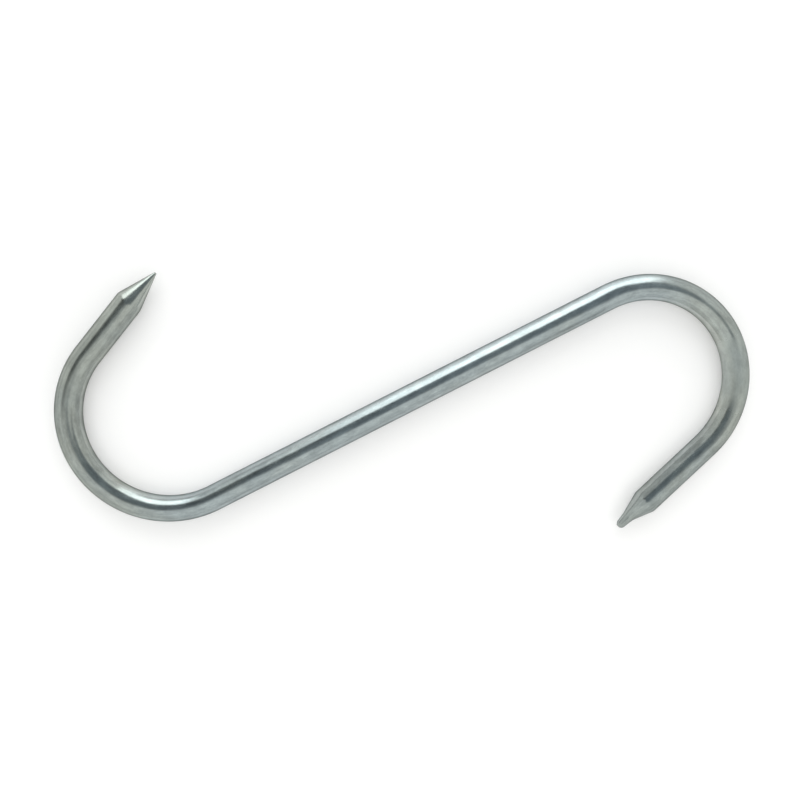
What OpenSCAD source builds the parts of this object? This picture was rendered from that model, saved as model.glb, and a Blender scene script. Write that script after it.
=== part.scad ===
// S hook: one round steel rod, bent into a straight shank with a hook at each end.
// The two hooks open to opposite sides, so a load on one hangs in line with the other.
// Both rod ends are ground to a point that leans a little towards the shank.
// The hook lies flat, as it rests on a table. The origin is on the table, under the
// middle of the shank. The shank runs along X and both hooks lie parallel to the table.

/* [Rod] */
// Diameter of the round rod
rod_d = 8; // [5:0.5:12]
// Length over all, from the outside of one bend to the outside of the other
overall_len = 200; // [160:1:300]

/* [Bends] */
// Radius of both bends, to the middle of the rod
bend_r = 28.7; // [20:0.1:40]
// How much thinner the rod is drawn where it is bent
bend_thinning = 0.04; // [0.02:0.01:0.1]
// Angle that the rod turns through in the left bend
left_turn = 156; // [120:1:180]
// Angle that the rod turns through in the right bend
right_turn = 163; // [120:1:180]

/* [Legs] */
// Straight rod from the left bend to the shoulder of its point
left_leg = 19.8; // [10:0.1:40]
// Straight rod from the right bend to the shoulder of its point
right_leg = 25.7; // [10:0.1:40]

/* [Points] */
// Length of both ground points, from the shoulder to the tip
point_len = 11.5; // [8:0.1:18]
// Diameter of the blunted tip
tip_d = 0.7; // [0.4:0.1:1.2]
// Radius that softens the shoulder between the rod and its point
shoulder_r = 6; // [2:0.5:10]
// Angle that the left point leans towards the shank
left_lean = 4; // [0:0.5:5]
// Angle that the right point leans towards the shank
right_lean = 2; // [0:0.5:5]

/* [Nub] */
// Diameter of the nub that is left on the right point, at its rounded end
nub_d = 2.8; // [1.6:0.1:3]
// How far the nub ends beyond the tip that the point would have without it
nub_reach = 0; // [0:0.1:1]
// Angle that the nub is bent back, away from the shank
nub_kick = 4; // [0:0.5:10]

/* [Hidden] */
$fn = 96;
rod_r = rod_d / 2;
bend_d = rod_d - bend_thinning;
shank_len = overall_len - 2 * bend_r - bend_d;
tip_r = tip_d / 2;
nub_r = nub_d / 2;
// The nub's root lies inside the cone, halfway along it, and is this share as wide
nub_root_share = 0.9;
// Room that the shape a point is ground to leaves round the rod, behind the point
clear = rod_d;
// Angle that each end of a bend is seated into the straight rod
seat_turn = 0.5;

// Half outline of the shape that a point is ground to, about its own axis:
// a flank that falls from the rod's radius at the shoulder to the tip, with the
// shoulder rounded, and an open flare behind the shoulder that clears the rod.
module ground_outline(back) {
    flank = atan((rod_r - tip_r) / point_len);
    flare = flank / 4;
    // Distance from the shoulder's corner to where its rounding starts and ends
    reach = shoulder_r * tan((flank - flare) / 2);
    flare_end = [rod_r + back * tan(flare), -back];
    round_start = [rod_r + reach * sin(flare), -reach * cos(flare)];
    round_end = [rod_r - reach * sin(flank), reach * cos(flank)];
    polygon([
        [0, -back], flare_end, round_start, round_end,
        [tip_r, point_len], [0, point_len]
    ]);
    intersection() {
        translate(round_start - shoulder_r * [cos(flare), sin(flare)])
            circle(r = shoulder_r);
        polygon([round_start, [rod_r, 0], round_end]);
    }
}

// Straight rod of one leg with its end ground to a point, standing on its bend end.
// The shape that it is ground to leans about the middle of the shoulder.
module ground_leg(leg, lean) {
    intersection() {
        cylinder(d = rod_d, h = leg + 2 * point_len);
        translate([0, 0, leg])
            rotate([lean, 0, 0])
                rotate_extrude()
                    ground_outline(leg + clear);
    }
}

// Nub with a rounded end, standing on its root
module nub() {
    root_r = nub_root_share * (rod_r + tip_r) / 2;
    len = point_len / 2 + nub_reach - nub_r;
    cylinder(r1 = root_r, r2 = nub_r, h = len);
    translate([0, 0, len])
        sphere(r = nub_r);
}

module left_end() {
    ground_leg(left_leg, left_lean);
}

module right_end() {
    ground_leg(right_leg, right_lean);
    translate([0, 0, right_leg])
        rotate([right_lean, 0, 0])
            translate([0, 0, point_len / 2])
                rotate([-nub_kick, 0, 0])
                    nub();
}

// Straight middle of the rod, along X
module shank() {
    translate([-shank_len / 2, 0, 0])
        rotate([0, 90, 0])
            cylinder(d = rod_d, h = shank_len);
}

// Bend at the shank's +X end, turning towards -Y. Both of its ends are seated a
// little way into the straight rod that they meet.
// The children stand on the bend's far end and are carried round with it.
module bend(turn) {
    translate([shank_len / 2, -bend_r, 0]) {
        rotate_extrude(angle = turn + 2 * seat_turn, start = 90 - turn - seat_turn)
            translate([bend_r, 0])
                circle(d = bend_d);
        rotate([0, 0, -turn])
            translate([0, bend_r, 0])
                rotate([0, 90, 0])
                    children();
    }
}

module hook() {
    color("silver")
        translate([0, 0, rod_r]) {
            shank();
            bend(right_turn) right_end();
            rotate([0, 0, 180])
                bend(left_turn) left_end();
        }
}

hook();
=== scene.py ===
import math

import bmesh
import bpy
from mathutils import Matrix, Vector


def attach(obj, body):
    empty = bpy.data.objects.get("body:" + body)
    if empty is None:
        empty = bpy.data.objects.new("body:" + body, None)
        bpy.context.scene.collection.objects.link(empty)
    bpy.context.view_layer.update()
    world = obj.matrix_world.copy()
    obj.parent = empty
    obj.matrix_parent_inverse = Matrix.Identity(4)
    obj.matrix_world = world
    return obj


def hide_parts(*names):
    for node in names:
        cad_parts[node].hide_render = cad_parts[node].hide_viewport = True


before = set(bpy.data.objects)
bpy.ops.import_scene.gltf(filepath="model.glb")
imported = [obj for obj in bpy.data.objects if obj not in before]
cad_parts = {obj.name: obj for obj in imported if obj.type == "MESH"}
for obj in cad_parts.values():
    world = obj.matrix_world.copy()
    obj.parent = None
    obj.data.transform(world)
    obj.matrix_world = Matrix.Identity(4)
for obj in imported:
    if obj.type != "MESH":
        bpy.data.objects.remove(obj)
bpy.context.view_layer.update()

# The hook: one length of round drawn steel rod, 8 mm thick, cut off, ground to a point at
# both ends and bent cold round a former into two open hooks that lie in one plane.
# It is swept here as the bending machine makes it, from the middle of the straight shank.
rod_r = 0.004
axis_z = rod_r
shank_half = 0.06732
bend_r = 0.0287
point_len = 0.0115
tip_r = 0.00035
shoulder_r = 0.006
nub_r = 0.0014
nub_kick = math.radians(4)
nub_root = point_len / 2
nub_root_r = 0.9 * (rod_r + tip_r) / 2
nub_len = point_len / 2 - nub_r

# The rings that the rod is swept through lie closest together on the points.
around = 72
shank_steps = 40
bend_steps = 110
leg_steps = 8
point_lead = 0.004
shoulder_rings = [-0.0030 + 0.00025 * i for i in range(22)]
flank_rings = [0.0029 + 0.0003 * i for i in range(28)]
tip_edge = 0.0002
nub_gap = 0.0001
nub_end_steps = 10
rod = bmesh.new()
grain = rod.verts.layers.float_vector.new("grain")
first_ring = bmesh.ops.create_circle(
    rod, segments=around, radius=rod_r,
    matrix=Matrix.Translation((0, 0, axis_z)) @ Matrix.Rotation(math.pi / 2, 4, "Y"))["verts"]
for v in first_ring:
    v[grain] = (0, v.co.y, v.co.z - axis_z)


def edges_of(ring):
    """The edges that join the vertices of one ring round the rod."""
    inside = set(ring)
    return [e for e in {e for v in ring for e in v.link_edges} if inside.issuperset(e.verts)]


def next_ring(ring):
    """Extrudes a ring and returns the new one, still in the same place."""
    new = bmesh.ops.extrude_edge_only(rod, edges=edges_of(ring))["geom"]
    return [g for g in new if isinstance(g, bmesh.types.BMVert)]


def straight_on(ring, side, direction, so_far, length, steps):
    """Carries the rod straight on, and writes where each ring lay in the rod before it was bent."""
    for i in range(steps):
        ring = next_ring(ring)
        bmesh.ops.translate(rod, vec=direction * length / steps, verts=ring)
        for v in ring:
            v[grain].x = side * (so_far + length * (i + 1) / steps)
    return ring


def bend_on(ring, side, former, turn):
    """Bends the rod round the former, clockwise as seen from above."""
    for i in range(bend_steps):
        swung = bmesh.ops.spin(
            rod, geom=edges_of(ring) + list(ring), cent=former, axis=(0, 0, -1),
            angle=turn / bend_steps, steps=1, use_duplicate=False)["geom_last"]
        ring = [g for g in swung if isinstance(g, bmesh.types.BMVert)]
        for v in ring:
            v[grain].x = side * (shank_half + bend_r * turn * (i + 1) / bend_steps)
    return ring


def ground_radius(reach):
    """Radius of the shape that a point is ground to, at this reach past the shoulder."""
    flank = math.atan((rod_r - tip_r) / point_len)
    flare = flank / 4
    blend = shoulder_r * math.tan((flank - flare) / 2)
    start = (rod_r + blend * math.sin(flare), -blend * math.cos(flare))
    end = (rod_r - blend * math.sin(flank), blend * math.cos(flank))
    if reach <= start[1]:
        return rod_r - reach * math.tan(flare)
    if reach >= end[1]:
        return rod_r - reach * math.tan(flank)
    centre = (start[0] - shoulder_r * math.cos(flare), start[1] - shoulder_r * math.sin(flare))
    return centre[0] + math.sqrt(shoulder_r ** 2 - (reach - centre[1]) ** 2)


def nub_radius(down):
    """Radius of the nub at this way down from its root: a tapered pin with a round end."""
    if down <= nub_len:
        return nub_root_r + (nub_r - nub_root_r) * down / nub_len
    return math.sqrt(max(nub_r ** 2 - (down - nub_len) ** 2, 1e-10))


def reaches_of_point(nub):
    """Where the rings of a point lie, from behind its shoulder to its end."""
    if not nub:
        return shoulder_rings + flank_rings + [point_len - tip_edge, point_len]
    end = nub_root + (nub_len + nub_r) * math.cos(nub_kick)
    flank = [r for r in shoulder_rings + flank_rings if r < end - nub_r - nub_gap]
    curl = math.radians(88) / nub_end_steps
    return flank + [end - nub_r * (1 - math.sin(curl * k)) for k in range(nub_end_steps + 1)]


def arm(side, turn, leg, lean, nub):
    """One bend with its leg and ground point, on the +X (1) or -X (-1) end of the shank."""
    former = Vector((side * shank_half, -side * bend_r, axis_z))
    forward = Matrix.Rotation(-turn, 3, "Z") @ Vector((side, 0, 0))
    outward = Matrix.Rotation(-turn, 3, "Z") @ Vector((0, side, 0))
    up = Vector((0, 0, 1))
    leg_start = former + outward * bend_r
    so_far = shank_half + bend_r * turn
    ring = straight_on(first_ring, side, Vector((side, 0, 0)), 0, shank_half, shank_steps)
    ring = bend_on(ring, side, former, turn)
    ring = straight_on(ring, side, forward, so_far, leg - point_lead, leg_steps)
    shoulder = leg_start + forward * leg
    lean_axis = forward * math.cos(lean) - outward * math.sin(lean)
    lean_out = outward * math.cos(lean) + forward * math.sin(lean)
    for reach in reaches_of_point(nub):
        ring = next_ring(ring)
        for v in ring:
            angle = math.atan2(v[grain].z, v[grain].y * side)
            ray = lean_out * math.cos(angle) + up * math.sin(angle)
            heart = shoulder + lean_axis * reach
            r = ground_radius(reach)
            if nub and reach > nub_root:
                # The section is the cone and the nub together, as seen from the nub's middle.
                shift = lean_out * (reach - nub_root) * math.tan(nub_kick)
                off = shift.dot(ray)
                inside = r ** 2 - shift.length ** 2 + off ** 2
                cone_r = math.sqrt(inside) - off if inside > 0 else 0
                r = max(nub_radius((reach - nub_root) / math.cos(nub_kick)), cone_r)
                heart += shift
            place = heart + ray * r
            aside = place - leg_start
            aside -= forward * aside.dot(forward)
            if aside.length > rod_r:
                # Grinding takes metal away, so no part of the point lies outside the rod.
                place += aside * (rod_r / aside.length - 1)
            v.co = place
            v[grain].x = side * (so_far + leg + reach)
    bmesh.ops.contextual_create(rod, geom=edges_of(ring))


def put_in_scene(name, shape):
    """Turns a finished bmesh into an object of the scene."""
    mesh = bpy.data.meshes.new(name)
    shape.to_mesh(mesh)
    shape.free()
    made = bpy.data.objects.new(name, mesh)
    bpy.context.scene.collection.objects.link(made)
    return made


arm(side=1, turn=math.radians(163), leg=0.0257, lean=math.radians(2), nub=True)
arm(side=-1, turn=math.radians(156), leg=0.0198, lean=math.radians(4), nub=False)
bmesh.ops.recalc_face_normals(rod, faces=rod.faces)
for f in rod.faces:
    f.smooth = len(f.verts) == 4
bent_rod = put_in_scene("bent_rod", rod)


class Link:
    """An output of a shader node. Arithmetic on it adds Math nodes."""

    def __init__(self, tree, socket=None):
        self.tree = tree
        self.socket = socket

    def node(self, kind, settings, inputs, output=0):
        """Adds any node, with its settings and its inputs' values or links."""
        made = self.tree.nodes.new(kind)
        for name, value in settings.items():
            setattr(made, name, value)
        for name, value in inputs.items():
            if isinstance(value, Link):
                self.tree.links.new(value.socket, made.inputs[name])
            else:
                made.inputs[name].default_value = value
        return Link(self.tree, made.outputs[output] if made.outputs else None)

    def beside(self, output):
        """Another output of the same node."""
        return Link(self.tree, self.socket.node.outputs[output])

    def maths(self, operation, first, second=0.0):
        """Adds a Math node."""
        return self.node("ShaderNodeMath", {"operation": operation}, {0: first, 1: second})

    def __add__(self, other):
        return self.maths("ADD", self, other)

    __radd__ = __add__

    def __mul__(self, other):
        return self.maths("MULTIPLY", self, other)

    __rmul__ = __mul__

    def __sub__(self, other):
        return self.maths("SUBTRACT", self, other)

    def __rsub__(self, other):
        return self.maths("SUBTRACT", other, self)

    def __abs__(self):
        return self.maths("ABSOLUTE", self)

    def step(self, low, high):
        """0 below low, 1 above high, smooth between."""
        return self.node("ShaderNodeMapRange", {"interpolation_type": "SMOOTHSTEP"},
                         {"Value": self, "From Min": low, "From Max": high})

    def band(self, low, full, still_full, high):
        """0 below low and above high, 1 between the two middle values, smooth between."""
        return self.step(low, full) * (1.0 - self.step(still_full, high))


def new_finish(name):
    """A material with no nodes yet."""
    finish = bpy.data.materials.new(name)
    finish.use_nodes = True
    finish.node_tree.nodes.clear()
    return finish


# The metal: bright drawn steel, left bare. The die has left fine lines along the rod, and
# handling has mottled it. A patch of the right bend is rubbed. The inner side of the right
# bend is painted lighter, a painted reflection, and the far side of the left bend and the
# right leg are painted darker, a painted shade.
steel = new_finish("drawn_steel")
on_steel = Link(steel.node_tree)
unbent = on_steel.node("ShaderNodeAttribute", {"attribute_name": "grain"}, {}, "Vector")


def noise(long, wide, detail, roughness=0.5):
    """Noise in the unbent rod, with a grain this long and this wide, in metres."""
    stretched = on_steel.node("ShaderNodeVectorMath", {"operation": "DIVIDE"},
                              {0: unbent, 1: (long, wide, wide)})
    return on_steel.node("ShaderNodeTexNoise", {}, {
        "Vector": stretched, "Scale": 1.0, "Detail": detail, "Roughness": roughness}, "Fac")


lines = noise(0.018, 0.00025, 3.0, 0.6)
streaks = noise(0.009, 0.0010, 2.0)
blotches = noise(0.0042, 0.0021, 2.0)
specks = noise(0.0009, 0.0005, 2.0)
cloud = noise(0.016, 0.006, 2.0)
waves = noise(0.011, 0.0035, 1.0)
along = on_steel.node("ShaderNodeSeparateXYZ", {}, {"Vector": unbent})
across = along.beside("Y")
inner_side = 1.0 - across.step(-0.0030, -0.0008)
rubbed = along.band(0.1105, 0.1145, 0.130, 0.138)
# Painted reflection: the inner side of the right bend is lighter in colour, for the brighter room that
# it mirrors.
painted_bright_inner = along.band(0.055, 0.072, 0.108, 0.122) * inner_side
# Painted shade: the far side of the left bend and the right leg are darker in colour, for the dimmer
# room that they mirror.
painted_dull_shade = along.band(-0.160, -0.148, -0.118, -0.095) + along.step(0.136, 0.148)
tone = (1.04 + 0.14 * (lines - 0.5) + 0.35 * (streaks - 0.5) + 0.62 * (blotches - 0.5)
        + 0.28 * (specks - 0.5) + 0.15 * (cloud - 0.5) + 0.10 * rubbed + 0.16 * painted_bright_inner - 0.10 * painted_dull_shade)
shank_colour = (0.372, 0.414, 0.424, 1)
bend_colour = (0.388, 0.408, 0.379, 1)
# Painted shade: a dark edge tint, so that the rims of the rod mirror less and look darker.
painted_rim_shade = (0.30, 0.32, 0.31, 1)
bent_part = abs(along).step(0.070, 0.105) * (1.0 - 0.4 * along.step(0.138, 0.156))
tint = on_steel.node("ShaderNodeMix", {"data_type": "RGBA"}, {
    0: 0.85 * bent_part + 1.2 * (cloud - 0.5), 6: shank_colour, 7: bend_colour}, 2)
shade = on_steel.node("ShaderNodeVectorMath", {"operation": "SCALE"}, {0: tint, "Scale": tone})
relief = 0.5 * lines + 0.35 * specks + 9.0 * waves
bump = on_steel.node("ShaderNodeBump", {}, {"Strength": 0.2, "Distance": 0.00002, "Height": relief})
metal = on_steel.node("ShaderNodeBsdfPrincipled", {}, {
    "Base Color": shade,
    "Metallic": 1.0,
    "Roughness": 0.15 + 0.10 * blotches + 0.05 * streaks + 0.26 * rubbed,
    "Normal": bump,
    "Specular Tint": painted_rim_shade})
on_steel.node("ShaderNodeOutputMaterial", {}, {"Surface": metal})
bent_rod.data.materials.append(steel)
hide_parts("hook")
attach(bent_rod, "root")


# The floor: a plain white painted table top that the hook lies on, with no edge in view.
# A faint glow, which lights nothing, keeps it white to the camera and in reflections, and
# leaves only a faint shadow beside the rod.
def flat_sheet(name, half):
    """A square sheet that lies level round the origin, this far to each side."""
    sheet = bmesh.new()
    bmesh.ops.create_grid(sheet, x_segments=1, y_segments=1, size=half)
    return put_in_scene(name, sheet)


floor = flat_sheet("floor", 6)
white = new_finish("white_top")
on_top = Link(white.node_tree)
camera_ray = on_top.node("ShaderNodeLightPath", {}, {}, "Is Camera Ray")
seen_rays = camera_ray + camera_ray.beside("Is Glossy Ray") + camera_ray.beside("Is Transmission Ray")
paint = on_top.node("ShaderNodeBsdfPrincipled", {}, {
    "Base Color": (0.885, 0.86, 0.868, 1), "Roughness": 0.2, "IOR": 1.6})
glow = on_top.node("ShaderNodeEmission", {}, {"Strength": 0.19 * seen_rays})
painted = on_top.node("ShaderNodeAddShader", {}, {0: paint, 1: glow})
on_top.node("ShaderNodeOutputMaterial", {}, {"Surface": painted})
floor.data.materials.append(white)

# The light: a pale room with one tall soft window beyond the hook, square to the picture.
# Cards that only reflections show stand for whoever leans over the table with the camera,
# and for four small white flags that lighten what the metal mirrors in the throats.
picture_turn = math.radians(-27.2)
room_turn = Matrix.Rotation(picture_turn, 4, "Z")
world = bpy.data.worlds.new("room")
bpy.context.scene.world = world
world.use_nodes = True
world.node_tree.nodes.clear()
in_room = Link(world.node_tree)
heading = in_room.node("ShaderNodeTexCoord", {}, {}, "Generated")
height = in_room.node("ShaderNodeSeparateXYZ", {}, {"Vector": heading}, "Z")
walls = in_room.node("ShaderNodeBackground", {}, {
    "Color": (0.97, 1.0, 0.975, 1), "Strength": 0.81 + 0.11 * height.step(0.05, 0.6)})
in_room.node("ShaderNodeOutputWorld", {}, {"Surface": walls})
window_centre = (-0.22, 3.0, 1.6)
window = bpy.data.lights.new("window", "AREA")
window.shape = "RECTANGLE"
window.size = 3.4
window.size_y = 3.3
window.energy = 58
window.color = (0.95, 1.0, 1.0)
window_at = bpy.data.objects.new("window", window)
bpy.context.scene.collection.objects.link(window_at)
window_at.matrix_world = (room_turn @ Matrix.Translation(window_centre)
                          @ Matrix.Rotation(math.radians(-90), 4, "X"))


def stage_card(name, place, look):
    """A card that only reflections show. Its look gives the cover, colour and strength."""
    card = flat_sheet(name, 0.5)
    card.matrix_world = room_turn @ place
    card_finish = new_finish(name)
    on_card = Link(card_finish.node_tree)
    spot = on_card.node("ShaderNodeTexCoord", {}, {}, "Object")
    x = on_card.node("ShaderNodeSeparateXYZ", {}, {"Vector": spot})
    cover, colour, strength = look(x, x.beside("Y"))
    light = on_card.node("ShaderNodeEmission", {}, {"Color": colour, "Strength": strength})
    nothing = on_card.node("ShaderNodeBsdfTransparent", {}, {})
    card_face = on_card.node("ShaderNodeMixShader", {}, {0: cover, 1: nothing, 2: light})
    on_card.node("ShaderNodeOutputMaterial", {}, {"Surface": card_face})
    card.data.materials.append(card_finish)
    card.visible_camera = False
    card.visible_diffuse = False
    card.visible_shadow = False


def standing(centre, turn, width, tall):
    """The place of a card that stands upright, turned by this many degrees."""
    return (Matrix.Translation(centre) @ Matrix.Rotation(math.radians(turn), 4, "Z")
            @ Matrix.Rotation(math.radians(90), 4, "X") @ Matrix.Diagonal((width, tall, 1, 1)))


def overhead_look(x, y):
    """Dark at the left and lighter at the right, soft at both ends, with uneven long edges."""
    swell = 0.08 * x.band(-0.06, 0.00, 0.06, 0.13)
    notch = 0.07 * x.band(0.10, 0.16, 0.26, 0.32)
    near_edge = (1.6 * y + 0.09 * abs(x) + swell - notch).step(-0.43, -0.21)
    far_edge = (1.6 * y - 0.27 * x.band(0.02, 0.16, 0.23, 0.31)).step(0.48, 0.52)
    cover = x.band(-0.467, -0.333, 0.37, 0.495) * near_edge * (1.0 - far_edge)
    colour = x.node("ShaderNodeMix", {"data_type": "RGBA"}, {
        0: x.step(-0.4, 0.0), 6: (0.90, 1.0, 0.97, 1), 7: (0.85, 1.0, 1.09, 1)}, 2)
    return cover, colour, 0.11 + 0.15 * x.step(-0.22, 0.04)


flag_white = (0.97, 1.0, 0.98, 1)
stage_card("dark_shape", Matrix.Translation((-0.10, 0.165, 0.53)) @ Matrix.Diagonal((1.2, 1.072, 1, 1)),
           overhead_look)
stage_card("throat_flag", standing((0.0745, -0.0077, 0.0115), 43.8, 0.038, 0.021),
           lambda x, y: (1.0, flag_white, 0.62 + 0.28 * x.step(0.22, 0.50)))
stage_card("bend_flag", standing((-0.086, -0.0048, 0.0065), 88.2, 0.024, 0.012),
           lambda x, y: (1.0, flag_white, 0.72))
stage_card("leg_flag", standing((-0.0785, 0.0135, 0.0065), 51.2, 0.022, 0.012),
           lambda x, y: (1.0, flag_white, 0.75))
stage_card("point_flag",
           Matrix.Translation((0.0565, -0.034, 0.0205)) @ Matrix.Rotation(math.radians(-4), 4, "Z")
           @ Matrix.Rotation(math.radians(-45), 4, "Y") @ Matrix.Diagonal((0.018, 0.018, 1, 1)),
           lambda x, y: (1.0, flag_white, 0.84))

# The camera: close above the table, held a little off square, as the photograph was taken.
# Its lens, height and tilt are those that lay the rod's outline on the photograph's.
camera_at = (-0.003852, 0.035138, 0.235619)
camera_turn = -0.4749
camera_nod = -0.1300
camera_tip = -0.0689
lens = bpy.data.cameras.new("camera")
lens.sensor_width = 36
lens.lens = 34.627
lens.clip_start = 0.01
lens.clip_end = 20
camera = bpy.data.objects.new("camera", lens)
bpy.context.scene.collection.objects.link(camera)
camera.matrix_world = (
    Matrix.Translation(camera_at) @ Matrix.Rotation(camera_turn, 4, "Z")
    @ Matrix.Rotation(camera_nod, 4, "X") @ Matrix.Rotation(camera_tip, 4, "Y"))
bpy.context.scene.camera = camera
bpy.context.scene.view_settings.view_transform = "Standard"
